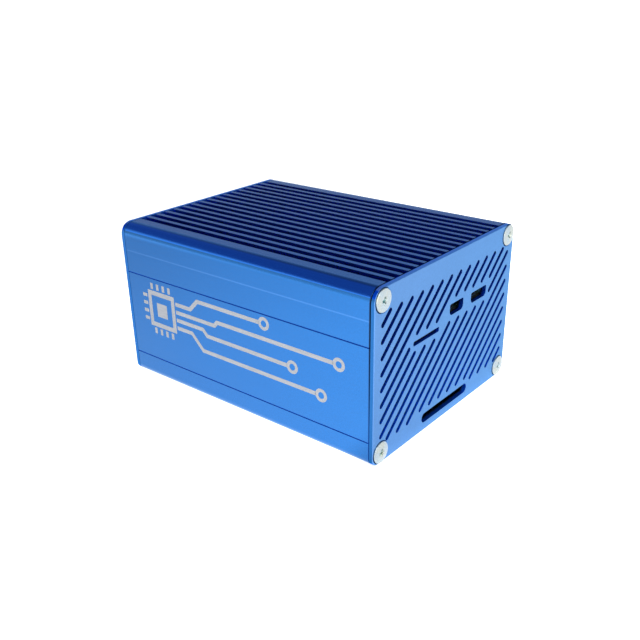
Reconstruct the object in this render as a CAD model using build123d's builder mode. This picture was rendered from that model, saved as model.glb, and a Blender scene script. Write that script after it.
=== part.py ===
"""Single board computer in a finned, extruded aluminium case.

Units are millimetres.  The origin is the centre of the case's underside, +X runs along the
case towards the front plate, +Y across it and +Z up.
"""

from math import cos, radians, sin, tan
import os

from build123d import *

os.makedirs("parts", exist_ok=True)

# ---------------------------------------------------------------- driving dimensions
case_length = 96.0  # over both end plates
case_width = 71.5
case_height = 50.0
plate_thickness = 1.5
tube_length = case_length - 2 * plate_thickness

top_corner_radius = 3.8
bottom_corner_radius = 2.4
edge_break = 0.2
front_seam = 0.3  # relief round a plate's inner face, seen as a fine gap against the tube
rear_seam = 0.1
seam_depth = 0.5

wall_thickness = 2.25
floor_thickness = 2.2
roof_underside = 44.2
fin_count = 16  # grooves cut into the roof
fin_pitch = 3.7
fin_groove_width = 2.3
fin_groove_depth = 3.5
fin_tip_radius = 0.22

pinstripe_heights = (7.2, 34.6)
pinstripe_depth = 0.2

# end plate screws
screw_y = 32.2
screw_z_low = 3.3
screw_z_high = 46.6
screw_head_radius = 3.12
screw_head_stand = 0.25  # how far the head's rim stands proud
screw_head_crown = 0.3
screw_neck_radius = 1.85
screw_shank_radius = 1.6
screw_length = 9.0
thread_bore_radius = 1.65
screw_boss_radius = 3.0
countersink_radius = 3.45
plate_hole_radius = 2.0

# slanted vents shared by both end plates
vent_angle = 43.1
vent_pitch = 3.33
vent_width = 1.4
vent_lines = 21
vent_field_half_width = 32.3
vent_field_low = 6.3
vent_field_high = 43.0
vent_margin = 2.1
vent_min_length = 2.5

# front plate openings: y low, y high, z low, z high
card_slot = (-18.0, -5.3, 28.75, 30.15)
hdmi_opening = (0.1, 7.35, 31.35, 34.75)
usb_opening = (11.75, 20.5, 31.25, 34.5)
cable_opening = (-12.3, 12.4, 2.5, 5.5)

# rear plate openings
ethernet_opening = (-20.4, -3.6, 31.1, 44.0)
power_opening = (9.1, 18.9, 31.1, 42.7)

# circuit board
board_length = 89.0
board_width = 54.0
board_thickness = 1.3
board_top = 31.4
board_front = 45.6
board_rear = board_front - board_length
board_bottom = board_top - board_thickness
board_centre_x = (board_front + board_rear) / 2
board_corner_radius = 2.5
board_hole_radius = 1.6
board_hole_inset = 3.4

# carrier tray and the standoffs on it
tray_bottom = 22.0
tray_thickness = 1.5
tray_width = 66.4
tray_length = 92.0
tray_top = tray_bottom + tray_thickness
rib_reach = 1.8
rib_thickness = 1.3
rib_gap = 1.6
standoff_across_flats = 5.5
standoff_bore_radius = 1.3
m3_shank_radius = 1.25
m3_head_radius = 2.75
m3_head_height = 1.6

# heat path
chip_height = 1.6
pad_thickness = 0.8
chip_top = board_top + chip_height
block_length = 42.0
block_width = 26.0
block_x = 4.0

tube_front = tube_length / 2
front_face = case_length / 2
inner_half_width = case_width / 2 - wall_thickness
screw_spots = [
    (-screw_y, screw_z_low),
    (screw_y, screw_z_low),
    (-screw_y, screw_z_high),
    (screw_y, screw_z_high),
]
board_holes = [
    (board_front - board_hole_inset, board_width / 2 - board_hole_inset),
    (board_front - board_hole_inset, -board_width / 2 + board_hole_inset),
    (board_rear + board_hole_inset, board_width / 2 - board_hole_inset),
    (board_rear + board_hole_inset, -board_width / 2 + board_hole_inset),
]
standing = (Align.CENTER, Align.CENTER, Align.MIN)
hanging = (Align.CENTER, Align.CENTER, Align.MAX)
mouth_backward = (Align.MIN, Align.CENTER, Align.MIN)


# ---------------------------------------------------------------- helpers
def case_outline():
    """Outer section of the case: large radii at the top, small ones at the bottom."""
    with BuildSketch() as outline:
        with Locations((0, case_height / 2)):
            Rectangle(case_width, case_height)
        by_height = outline.vertices().group_by(Axis.Y)
        fillet(by_height[-1], top_corner_radius)
        fillet(outline.vertices().group_by(Axis.Y)[0], bottom_corner_radius)
    return outline.sketch


def span_inside(line_y, low, high, box):
    """Stretch of y over which a vent line lies inside a box grown by the vent margin."""
    slope = tan(radians(vent_angle))
    middle = (vent_field_low + vent_field_high) / 2
    y_low, y_high, z_low, z_high = box
    start = max(low, y_low - vent_margin, line_y + (z_low - vent_margin - middle) / slope)
    end = min(high, y_high + vent_margin, line_y + (z_high + vent_margin - middle) / slope)
    return start, end


def vent_slots(openings):
    """Centre and length of each slanted vent, broken where it would meet an opening."""
    slope = tan(radians(vent_angle))
    middle = (vent_field_low + vent_field_high) / 2
    half_rise = (vent_field_high - vent_field_low) / 2
    slots = []
    for number in range(vent_lines):
        line_y = (number - (vent_lines - 1) / 2) * vent_pitch / sin(radians(vent_angle))
        low = max(-vent_field_half_width, line_y - half_rise / slope)
        high = min(vent_field_half_width, line_y + half_rise / slope)
        pieces = [(low, high)]
        for box in openings:
            start, end = span_inside(line_y, low, high, box)
            if start < end:
                before = [(a, min(b, start)) for a, b in pieces]
                after = [(max(a, end), b) for a, b in pieces]
                pieces = [piece for piece in before + after if piece[0] < piece[1]]
        for start, end in pieces:
            length = (end - start) / cos(radians(vent_angle))
            if length > vent_min_length:
                centre = (start + end) / 2
                slots.append((centre, middle + slope * (centre - line_y), length))
    return slots


def opening_outline(box, upper_radius, lower_radius):
    """Rounded rectangle on a plate, with its own radius above and below."""
    y_low, y_high, z_low, z_high = box
    with BuildSketch() as opening:
        with Locations(((y_low + y_high) / 2, (z_low + z_high) / 2)):
            Rectangle(y_high - y_low, z_high - z_low)
        fillet(opening.vertices().group_by(Axis.Y)[-1], upper_radius)
        fillet(opening.vertices().group_by(Axis.Y)[0], lower_radius)
    return opening.sketch


def plate_blank(openings, cut_outs, seam):
    """End plate lying in the XY plane (its Y is up), outer face upwards at the plate's thickness."""
    with BuildPart() as blank:
        with BuildSketch():
            add(case_outline())
        extrude(amount=plate_thickness)
        chamfer(blank.faces().sort_by(Axis.Z)[-1].outer_wire().edges(), edge_break)
        with BuildSketch(Plane.XY):
            add(case_outline())
            offset(amount=-seam_depth, mode=Mode.SUBTRACT)
        extrude(amount=seam, mode=Mode.SUBTRACT)
        with BuildSketch(Plane.XY):
            for cut_out in cut_outs:
                add(cut_out)
            for centre_y, centre_z, length in vent_slots(openings):
                with Locations((centre_y, centre_z)):
                    SlotCenterToCenter(length, vent_width, rotation=vent_angle)
        extrude(amount=plate_thickness, mode=Mode.SUBTRACT)
        with Locations(Plane.XY.offset(plate_thickness)):
            with Locations(*screw_spots):
                CounterSinkHole(plate_hole_radius, countersink_radius, counter_sink_angle=90)
    return blank.part


def cross_recess(width, slot, depth):
    """Cross recess for a driver, its mouth at Z = 0 and tapering downwards."""
    with BuildPart() as recess:
        with BuildSketch(Plane.XY.offset(0.6)):
            Rectangle(width, slot)
            Rectangle(slot, width)
            Circle(slot * 0.95)
        extrude(amount=-depth - 0.6, taper=16)
    return recess.part


def plate_screw():
    """Raised countersunk screw, its head's seating plane at Z = 0 and its shank downwards."""
    cone_depth = screw_head_radius - screw_neck_radius
    with BuildPart() as screw:
        with BuildSketch(Plane.XZ):
            with BuildLine():
                Line((0, -screw_length), (0, screw_head_stand + screw_head_crown))
                ThreePointArc(
                    (0, screw_head_stand + screw_head_crown),
                    (screw_head_radius * 0.55, screw_head_stand + screw_head_crown * 0.69),
                    (screw_head_radius - 0.1, screw_head_stand),
                )
                Polyline(
                    (screw_head_radius - 0.1, screw_head_stand),
                    (screw_head_radius, screw_head_stand - 0.1),
                    (screw_head_radius, -0.05),
                    (screw_neck_radius, -0.05 - cone_depth),
                    (screw_shank_radius, -0.05 - cone_depth),
                    (screw_shank_radius, 0.4 - screw_length),
                    (screw_shank_radius - 0.4, -screw_length),
                    (0, -screw_length),
                )
            make_face()
        revolve(axis=Axis.Z)
        with Locations((0, 0, screw_head_stand + screw_head_crown)):
            add(cross_recess(3.0, 0.95, 1.3), mode=Mode.SUBTRACT)
    return screw.part


def small_screw(length):
    """Pan head screw, the underside of its head at Z = 0 and its shank downwards."""
    with BuildPart() as screw:
        Cylinder(m3_head_radius, m3_head_height, align=standing)
        fillet(screw.edges().sort_by(Axis.Z)[-1], m3_head_height * 0.45)
        Cylinder(m3_shank_radius, length, align=hanging)
        with Locations((0, 0, m3_head_height)):
            add(cross_recess(2.6, 0.6, 0.9), mode=Mode.SUBTRACT)
    return screw.part


def write(builder, label):
    """Label a finished piece and write it to its own file."""
    builder.part.label = label
    export_step(builder.part, f"parts/{label}.step")


# ---------------------------------------------------------------- case
with BuildPart() as case_body:
    with BuildSketch(Plane.YZ.offset(-tube_front)) as section:
        add(case_outline())
        with Locations((0, (floor_thickness + roof_underside) / 2)):
            Rectangle(2 * inner_half_width, roof_underside - floor_thickness, mode=Mode.SUBTRACT)
        for side in (-1, 1):
            for rib_step in (-rib_gap / 2 - rib_thickness / 2, rib_gap / 2 + rib_thickness / 2):
                rib_y = side * (inner_half_width - rib_reach / 2 + 0.1)
                with Locations((rib_y, tray_bottom + tray_thickness / 2 + rib_step)):
                    Rectangle(rib_reach + 0.2, rib_thickness)
        with Locations(*screw_spots):
            Circle(screw_boss_radius)
        with Locations(*screw_spots):
            Circle(thread_bore_radius, mode=Mode.SUBTRACT)
        for side in (-1, 1):
            for height in pinstripe_heights:
                with Locations((side * case_width / 2, height)):
                    Rectangle(
                        pinstripe_depth * 1.414,
                        pinstripe_depth * 1.414,
                        rotation=45,
                        mode=Mode.SUBTRACT,
                    )
        with Locations((0, case_height - fin_groove_depth / 2)):
            with GridLocations(fin_pitch, 1, fin_count, 1):
                Rectangle(fin_groove_width, fin_groove_depth, mode=Mode.SUBTRACT)
        fin_half_width = fin_pitch * (fin_count - 1) / 2 + fin_groove_width / 2 + 0.1
        tips = section.vertices().group_by(Axis.Y)[-1]
        tips = tips.filter_by(lambda tip: abs(tip.Y) < fin_half_width)
        fillet(tips, fin_tip_radius)
    extrude(amount=tube_length)
    end_faces = case_body.faces().filter_by(Axis.X).sort_by(Axis.X)
    for end_face in (end_faces[0], end_faces[-1]):
        chamfer(end_face.outer_wire().edges(), edge_break / 2)
write(case_body, "case_body")

front_openings = [card_slot, hdmi_opening, usb_opening, cable_opening]
front_cut_outs = [
    opening_outline(card_slot, 0.45, 0.45),
    opening_outline(hdmi_opening, 0.5, 1.3),
    opening_outline(usb_opening, 0.5, 1.3),
    opening_outline(cable_opening, 1.45, 1.45),
]
with BuildPart() as front_plate:
    with Locations(Plane.YZ.offset(tube_front)):
        add(plate_blank(front_openings, front_cut_outs, front_seam))
write(front_plate, "front_plate")

rear_view = Plane(origin=(-tube_front, 0, 0), x_dir=(0, -1, 0), z_dir=(-1, 0, 0))
seen_from_behind = [
    (-box[1], -box[0], box[2], box[3]) for box in (ethernet_opening, power_opening)
]
rear_cut_outs = [opening_outline(box, 0.6, 0.6) for box in seen_from_behind]
with BuildPart() as rear_plate:
    with Locations(rear_view):
        add(plate_blank(seen_from_behind, rear_cut_outs, rear_seam))
write(rear_plate, "rear_plate")

with BuildPart() as front_plate_screws:
    with Locations(Plane.YZ.offset(front_face)):
        with Locations(*screw_spots):
            add(plate_screw())
write(front_plate_screws, "front_plate_screws")

with BuildPart() as rear_plate_screws:
    with Locations(rear_view.offset(plate_thickness)):
        with Locations(*screw_spots):
            add(plate_screw())
write(rear_plate_screws, "rear_plate_screws")

# ---------------------------------------------------------------- carrier
with BuildPart() as carrier_tray:
    with BuildSketch(Plane.XY.offset(tray_bottom)) as tray_outline:
        Rectangle(tray_length, tray_width)
        fillet(tray_outline.vertices(), 2.0)
        with Locations(*board_holes):
            Circle(m3_shank_radius + 0.15, mode=Mode.SUBTRACT)
        with Locations((-24, 0), (0, 0), (24, 0)):
            SlotOverall(34, 12, rotation=90, mode=Mode.SUBTRACT)
    extrude(amount=tray_thickness)
write(carrier_tray, "carrier_tray")

with BuildPart() as board_standoffs:
    with BuildSketch(Plane.XY.offset(tray_top)):
        with Locations(*board_holes):
            RegularPolygon(standoff_across_flats / 2, 6, major_radius=False)
            Circle(standoff_bore_radius, mode=Mode.SUBTRACT)
    extrude(amount=board_bottom - tray_top)
write(board_standoffs, "board_standoffs")

with BuildPart() as tray_screws:
    with Locations(Plane(origin=(0, 0, tray_bottom), x_dir=(1, 0, 0), z_dir=(0, 0, -1))):
        with Locations(*board_holes):
            add(small_screw(4.0))
write(tray_screws, "tray_screws")

with BuildPart() as board_screws:
    with Locations(Plane.XY.offset(board_top)):
        with Locations(*board_holes):
            add(small_screw(4.0))
write(board_screws, "board_screws")

# ---------------------------------------------------------------- circuit board
with BuildPart() as circuit_board:
    with BuildSketch(Plane.XY.offset(board_bottom)) as board_outline:
        with Locations((board_centre_x, 0)):
            Rectangle(board_length, board_width)
        fillet(board_outline.vertices(), board_corner_radius)
        with Locations(*board_holes):
            Circle(board_hole_radius, mode=Mode.SUBTRACT)
    extrude(amount=board_thickness)
write(circuit_board, "circuit_board")

with BuildPart() as system_chip:
    with Locations((-5, 0, board_top)):
        Box(17, 17, chip_height, align=standing)
    chamfer(system_chip.edges().filter_by(Axis.Z), 0.6)
write(system_chip, "system_chip")

with BuildPart() as coprocessor_chip:
    with Locations((15, 2, board_top)):
        Box(15, 15, chip_height, align=standing)
    chamfer(coprocessor_chip.edges().filter_by(Axis.Z), 0.6)
write(coprocessor_chip, "coprocessor_chip")

with BuildPart() as working_memory_chip:
    with Locations((-5, -18.5, board_top)):
        Box(13, 9, 1.2, align=standing)
    chamfer(working_memory_chip.edges().filter_by(Axis.Z), 0.4)
write(working_memory_chip, "working_memory_chip")

with BuildPart() as flash_chip:
    with Locations((12, -18, board_top)):
        Box(8, 6, 1.1, align=standing)
    chamfer(flash_chip.edges().filter_by(Axis.Z), 0.3)
write(flash_chip, "flash_chip")

with BuildPart() as ethernet_chip:
    with Locations((-20, -16, board_top)):
        Box(8, 8, 0.9, align=standing)
    chamfer(ethernet_chip.edges().filter_by(Axis.Z), 0.3)
write(ethernet_chip, "ethernet_chip")

with BuildPart() as usb_chip:
    with Locations((31, 16, board_top)):
        Box(5, 5, 0.9, align=standing)
    chamfer(usb_chip.edges().filter_by(Axis.Z), 0.25)
write(usb_chip, "usb_chip")

with BuildPart() as display_chip:
    with Locations((30, 2, board_top)):
        Box(9, 9, 1.4, align=standing)
    chamfer(display_chip.edges().filter_by(Axis.Z), 0.3)
write(display_chip, "display_chip")

with BuildPart() as power_regulators:
    with Locations((-30, 4, board_top), (-22, 19, board_top), (-8, 20, board_top), (8, 20, board_top)):
        Box(4, 4, 0.9, align=standing)
write(power_regulators, "power_regulators")

with BuildPart() as power_inductors:
    with Locations((-25, 4, board_top), (-16, 19, board_top), (-2, 20, board_top), (14, 20, board_top)):
        Box(4, 4, 2.0, align=standing)
    chamfer(power_inductors.edges().filter_by(Axis.Z), 0.8)
write(power_inductors, "power_inductors")

with BuildPart() as bulk_capacitors:
    with Locations((-25, 10, board_top)):
        with GridLocations(2.6, 4.0, 3, 1):
            Box(1.6, 3.2, 1.4, align=standing)
    with Locations((24, -18, board_top)):
        with GridLocations(2.6, 4.0, 3, 2):
            Box(1.6, 3.2, 1.4, align=standing)
write(bulk_capacitors, "bulk_capacitors")

with BuildPart() as crystals:
    with Locations((-20, -8.5, board_top), (24, 14, board_top)):
        Box(3.2, 2.5, 0.8, align=standing)
write(crystals, "crystals")

with BuildPart() as status_leds:
    with Locations((41, -9, board_top), (41, -13, board_top)):
        Box(1.6, 0.8, 0.6, align=standing)
write(status_leds, "status_leds")

with BuildPart() as serial_header_base:
    with Locations((36, -22, board_top)):
        Box(2.54, 7.62, 2.5, align=standing)
write(serial_header_base, "serial_header_base")

with BuildPart() as serial_header_pins:
    with Locations((36, -22, board_top + 2.5)):
        with GridLocations(2.54, 2.54, 1, 3):
            Box(0.64, 0.64, 6.0, align=standing)
write(serial_header_pins, "serial_header_pins")

# ---------------------------------------------------------------- sockets
ethernet_y = (ethernet_opening[0] + ethernet_opening[1]) / 2
jack_rear = -front_face + 0.4
with BuildPart() as ethernet_jack:
    with Locations((jack_rear, ethernet_y, board_top)):
        Box(21.3, 16.0, 12.3, align=mouth_backward)
    with Locations((jack_rear, ethernet_y, board_top + 2.2)):
        Box(15.0, 11.8, 7.0, align=mouth_backward, mode=Mode.SUBTRACT)
    with Locations((jack_rear, ethernet_y, board_top + 9.2)):
        Box(15.0, 6.2, 1.3, align=mouth_backward, mode=Mode.SUBTRACT)
write(ethernet_jack, "ethernet_jack")

with BuildPart() as ethernet_contacts:
    with Locations((jack_rear + 4.0, ethernet_y, board_top + 2.2)):
        with GridLocations(1, 1.02, 1, 8):
            Box(8.0, 0.45, 0.9, align=mouth_backward)
write(ethernet_contacts, "ethernet_contacts")

power_y = (power_opening[0] + power_opening[1]) / 2
with BuildPart() as power_jack:
    with Locations((jack_rear, power_y, board_top)):
        Box(14.4, 9.0, 10.9, align=mouth_backward)
    with Locations((jack_rear, power_y, board_top + 6.4)):
        Cylinder(
            3.1,
            10.0,
            rotation=(0, 90, 0),
            align=(Align.CENTER, Align.CENTER, Align.MIN),
            mode=Mode.SUBTRACT,
        )
write(power_jack, "power_jack")

with BuildPart() as power_jack_pin:
    with Locations((jack_rear + 1.0, power_y, board_top + 6.4)):
        Cylinder(0.95, 9.0, rotation=(0, 90, 0), align=(Align.CENTER, Align.CENTER, Align.MIN))
write(power_jack_pin, "power_jack_pin")


def shell_socket(width, height, depth, wall, lower_chamfer):
    """Sheet metal receptacle with its mouth at X = 0, standing on Z = 0, with a contact tongue."""
    with BuildPart() as socket:
        with BuildSketch(Plane.YZ) as shell:
            with Locations((0, height / 2)):
                Rectangle(width, height)
            fillet(shell.vertices().group_by(Axis.Y)[-1], 0.4)
            chamfer(shell.vertices().group_by(Axis.Y)[0], lower_chamfer)
        extrude(amount=-depth)
        with BuildSketch(Plane.YZ) as mouth:
            with Locations((0, height / 2)):
                Rectangle(width - 2 * wall, height - 2 * wall)
            fillet(mouth.vertices().group_by(Axis.Y)[-1], 0.2)
            chamfer(mouth.vertices().group_by(Axis.Y)[0], lower_chamfer * 0.85)
        extrude(amount=-depth + 1.0, mode=Mode.SUBTRACT)
        with Locations((-depth + 1.0, 0, height / 2 + 0.25)):
            Box(depth - 1.8, width * 0.62, 0.6, align=(Align.MIN, Align.CENTER, Align.CENTER))
    return socket.part


hdmi_y = (hdmi_opening[0] + hdmi_opening[1]) / 2
port_mouth = board_front - 0.2
with BuildPart() as micro_hdmi_socket:
    with Locations((port_mouth, hdmi_y, board_top)):
        add(shell_socket(6.5, 3.2, 7.5, 0.25, 0.9))
write(micro_hdmi_socket, "micro_hdmi_socket")

usb_y = (usb_opening[0] + usb_opening[1]) / 2
with BuildPart() as micro_usb_socket:
    with Locations((port_mouth, usb_y, board_top)):
        add(shell_socket(7.6, 2.9, 5.6, 0.25, 0.9))
write(micro_usb_socket, "micro_usb_socket")

card_y = (card_slot[0] + card_slot[1]) / 2
card_z = (card_slot[2] + card_slot[3]) / 2
with BuildPart() as memory_card_socket:
    with Locations((board_front - 0.3, card_y, board_bottom)):
        Box(15.2, 13.6, 1.35, align=(Align.MAX, Align.CENTER, Align.MAX))
    with Locations((board_front - 0.3, card_y, card_z)):
        Box(
            14.4,
            11.3,
            0.9,
            align=(Align.MAX, Align.CENTER, Align.CENTER),
            mode=Mode.SUBTRACT,
        )
write(memory_card_socket, "memory_card_socket")

card_length = 15.0
card_width = 11.0
card_thickness = 0.7
card_end = front_face - 1.0
with BuildPart() as memory_card:
    with BuildSketch(Plane.XY.offset(card_z - card_thickness / 2)) as card_outline:
        with Locations((card_end - card_length / 2, card_y)):
            Rectangle(card_length, card_width)
        fillet(card_outline.vertices(), 0.7)
        with Locations((card_end - card_length / 2 - 4.5, card_y + card_width / 2)):
            Rectangle(6.0, 2.6, mode=Mode.SUBTRACT)
    extrude(amount=card_thickness)
    with Locations((card_end - 0.45, card_y, card_z + card_thickness / 2)):
        Box(0.9, 9.0, 0.2, align=standing)
write(memory_card, "memory_card")

with BuildPart() as expansion_connectors:
    with Locations((-16, 0, board_bottom)):
        with GridLocations(1, 38.0, 1, 2):
            Box(20.0, 5.0, 5.0, align=hanging)
    with Locations((-16, 0, board_bottom - 1.4)):
        with GridLocations(1, 38.0, 1, 2):
            Box(17.0, 2.4, 3.6, align=hanging, mode=Mode.SUBTRACT)
write(expansion_connectors, "expansion_connectors")

# ---------------------------------------------------------------- heat path
with BuildPart() as chip_thermal_pad:
    with Locations((block_x, 0, chip_top)):
        Box(block_length - 2, block_width - 2, pad_thickness, align=standing)
write(chip_thermal_pad, "chip_thermal_pad")

block_bottom = chip_top + pad_thickness
block_height = roof_underside - pad_thickness - block_bottom
with BuildPart() as conduction_block:
    with Locations((block_x, 0, block_bottom)):
        Box(block_length, block_width, block_height, align=standing)
    chamfer(conduction_block.edges(), 0.4)
write(conduction_block, "conduction_block")

with BuildPart() as roof_thermal_pad:
    with Locations((block_x, 0, roof_underside - pad_thickness)):
        Box(block_length - 2, block_width - 2, pad_thickness, align=standing)
write(roof_thermal_pad, "roof_thermal_pad")
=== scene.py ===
"""Looks for the single board computer: finishes, fine detail, light and camera.

The row frame's origin is the centre of the case's underside. +X runs along the case to the front
plate, +Y across it and +Z up. Lengths are metres, except in the fine pieces, which are drawn in
millimetres and scaled.
"""

import math

import bmesh
import bpy
from mathutils import Matrix, Vector


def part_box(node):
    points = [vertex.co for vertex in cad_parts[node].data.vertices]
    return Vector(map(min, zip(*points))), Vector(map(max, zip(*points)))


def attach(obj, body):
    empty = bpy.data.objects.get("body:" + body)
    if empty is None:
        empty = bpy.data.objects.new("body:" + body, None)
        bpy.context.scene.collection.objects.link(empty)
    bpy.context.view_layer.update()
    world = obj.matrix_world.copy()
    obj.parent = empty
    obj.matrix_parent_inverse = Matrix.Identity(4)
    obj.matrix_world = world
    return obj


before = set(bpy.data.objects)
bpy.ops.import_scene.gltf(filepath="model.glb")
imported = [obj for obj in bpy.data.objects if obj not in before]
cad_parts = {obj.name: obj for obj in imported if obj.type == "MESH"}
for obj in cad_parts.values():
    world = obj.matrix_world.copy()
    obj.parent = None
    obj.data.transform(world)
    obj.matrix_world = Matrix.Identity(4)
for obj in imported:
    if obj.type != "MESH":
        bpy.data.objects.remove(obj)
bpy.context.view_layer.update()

MM = 0.001

# ---------------------------------------------------------------- places taken from the frame
case_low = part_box("case_body")[0]
board_low, board_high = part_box("circuit_board")
screw_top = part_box("front_plate_screws")[1].x

# ---------------------------------------------------------------- colours, linear
CASE_BLUE = (0.009, 0.094, 0.285)
ARC_PAINTED_LIGHT_BLUE = (0.03, 0.20, 0.78)
GROOVE_LIT_BLUE = (0.022, 0.25, 0.95)
GROOVE_SHADE_BLUE = (0.014, 0.13, 0.62)
PLATE_BLUE = (0.110, 0.235, 0.47)
PLATE_EDGE_BLUE = (0.016, 0.092, 0.26)
PLATE_TOP_LIT_BLUE = (0.15, 0.28, 0.70)
VENT_BLUE = (0.002, 0.075, 0.62)
VENT_LIT_BLUE = (0.006, 0.170, 0.90)
GAP_SHADE_BLUE = (0.002, 0.008, 0.035)
LINE_BLUE = (0.080, 0.45, 1.0)
GAP_LIT_BLUE = (0.030, 0.150, 0.45)
REAR_EDGE_BLUE = (0.030, 0.125, 0.360)
# EDGE_BLUE is the die's witness line on each side, and the painted highlight on the plate's chamfers
EDGE_BLUE = (0.12, 0.30, 0.66)
ZINC = (0.47, 0.51, 0.51)
ZINC_YELLOW = (0.50, 0.51, 0.38)
ZINC_CYAN = (0.36, 0.48, 0.51)
RECESS_SHADE_TEAL = (0.23, 0.44, 0.43)
ETCHED = (0.275, 0.282, 0.295)
MASK_GREEN, MASK_COPPER_GREEN = (0.004, 0.030, 0.014), (0.007, 0.062, 0.026)
VIA_TIN = (0.32, 0.33, 0.28)
LAMINATE_DARK, LAMINATE_PALE = (0.010, 0.010, 0.008), (0.022, 0.020, 0.014)
LENS_GREEN, LENS_PALE = (0.72, 0.84, 0.70), (0.88, 0.95, 0.80)
PAD_BLUE, PAD_FILLER = (0.26, 0.32, 0.48), (0.46, 0.52, 0.66)
PRINT_WHITE = (0.62, 0.63, 0.60)
LABEL_GREY = (0.20, 0.23, 0.27)
CASE_GLOSS_TINT = (0.85, 0.95, 1.0, 1.0)
PLATE_GLOSS_TINT = (0.40, 0.75, 1.0, 1.0)

# ---------------------------------------------------------------- where the finish changes
# A pair is where a change starts and where it is complete. Z is a height, X and Y are distances
# from the row frame's middle, and UP is how far the surface faces up, from -1 to 1.
WITNESS_Z, WITNESS_REACH = 41.7 * MM, 0.3 * MM  # a faint mark of the die, high on each side
LOW_LINE_Z, LOW_LINE_REACH = 7.2 * MM, 0.35 * MM  # the lower grooved line on each side
LINE_FLOOR_Y = (35.70 * MM, 35.73 * MM)  # from inside the grooved lines to the side's face
ARC_FOOT_UP, ARC_HEAD_UP = (0.395, 0.450), (0.930, 0.985)  # the rounded upper corners
ARC_Y = (30.0 * MM, 31.0 * MM)
GROOVES_Y, GROOVES_Z = (29.0 * MM, 29.3 * MM), (46.0 * MM, 46.3 * MM)  # the roof's grooves
GROOVE_WALL_UP = (0.6, 0.8)
GROOVE_WALL_Z = (47.0 * MM, 49.8 * MM)
BRINK_X, BRINK_SHADE_SHARE = (46.22 * MM, 46.32 * MM), 0.65  # near the front end of the tube
GAP_Z = (8.0 * MM, 36.0 * MM)  # the gap between tube and plate, lit by the table at its foot
MIDDLE_X = (-1.0 * MM, 1.0 * MM)  # between the rear half and the front half
PLATE_INSIDE_X = (46.81 * MM, 46.85 * MM)  # the plates' inner faces, seen in the gap
PLATE_RIM_Y = (35.3 * MM, 35.5 * MM)
PLATE_FOOT_Z, PLATE_HEAD_Z = (0.4 * MM, 0.6 * MM), (49.4 * MM, 49.6 * MM)
VENT_LIT_Z = (10.0 * MM, 34.0 * MM)  # vent walls, lit by the table at their foot
RECESS_FLOOR, RECESS_MOUTH = 0.75 * MM, 0.42 * MM  # depths under the top of a screw's head

# ---------------------------------------------------------------- light
# Along X the floor glows more and more up to a peak near the front plate, and fades beyond it.
FLOOR_LEFT, FLOOR_PEAK, FLOOR_RIGHT = -0.156, 0.036, 0.052
FLOOR_GLOW, FLOOR_PEAK_GLOW, FLOOR_RIGHT_GLOW = 0.38, 1.74, 0.40
# Along Y it glows more far out on the marked side, and less in a band close to the case, a painted
# shadow.
FLOOR_FAR_Y, FLOOR_NEAR_Y, FLOOR_FAR_GLOW = -0.28, -0.14, 1.00
FLOOR_SHADOW_Y, FLOOR_SHADOW_REACH, FLOOR_SHADOW_LOSS = -0.045, 0.060, 0.20
FLOOR_SIZE, FLOOR_DROP = 6.0, 0.02 * MM
FLOOR_DARK, FLOOR_PALE = (0.80, 0.80, 0.80), (0.82, 0.82, 0.82)

# The sky is laid out by the direction looked in, each coordinate from -1 to 1.
CEILING = (0.12, 0.16, 0.30)
OVERHEAD = (0.66, 0.74, 0.86)
OVERHEAD_Z, OVERHEAD_X = (0.62, 0.84), (-0.38, -0.12)
# The wall on the marked side: a range of directions, then its brightness at either end.
WALL_ALONG_X = (-0.80, -0.40, 0.85, 1.60)
WALL_LOW_Z = (0.05, 0.16, 1.40, 1.25)
WALL_HIGH_Z = (0.26, 0.38, 1.0, 0.75)
WALL_TOP_Z = (0.405, 0.445)
WALL_TO_FAR_Y = (-0.25, 0.10)
# The far side, from the horizon up: the roof's strips and fins mirror it from 0.24 to 0.37.
FAR_SIDE = [
    (0.0, (1.0, 1.0, 1.0)),
    (0.17, (0.98, 0.98, 1.0)),
    (0.20, (0.13, 0.19, 0.36)),
    (0.24, (0.13, 0.19, 0.40)),
    (0.28, (0.32, 0.37, 0.63)),
    (0.32, (0.42, 0.49, 0.74)),
    (0.37, (0.37, 0.67, 1.00)),
    (0.50, (0.20, 0.30, 0.50)),
    (0.60, CEILING),
    (1.0, CEILING),
]
SUN_TOWARDS, SUN_STRENGTH, SUN_ANGLE = (0.35, -0.30, 0.88), 1.95, 66.0
SOFTBOX_PLACE, SOFTBOX_AIM = (0.55, -0.35, 0.60), (0.05, 0.0, 0.0)
SOFTBOX_SIZE, SOFTBOX_POWER = 0.5, 3.0


# ---------------------------------------------------------------- shader nodes
COLOUR_A, COLOUR_B, COLOUR_RESULT = 6, 7, 2  # sockets of a Mix node that mixes colours


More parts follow.
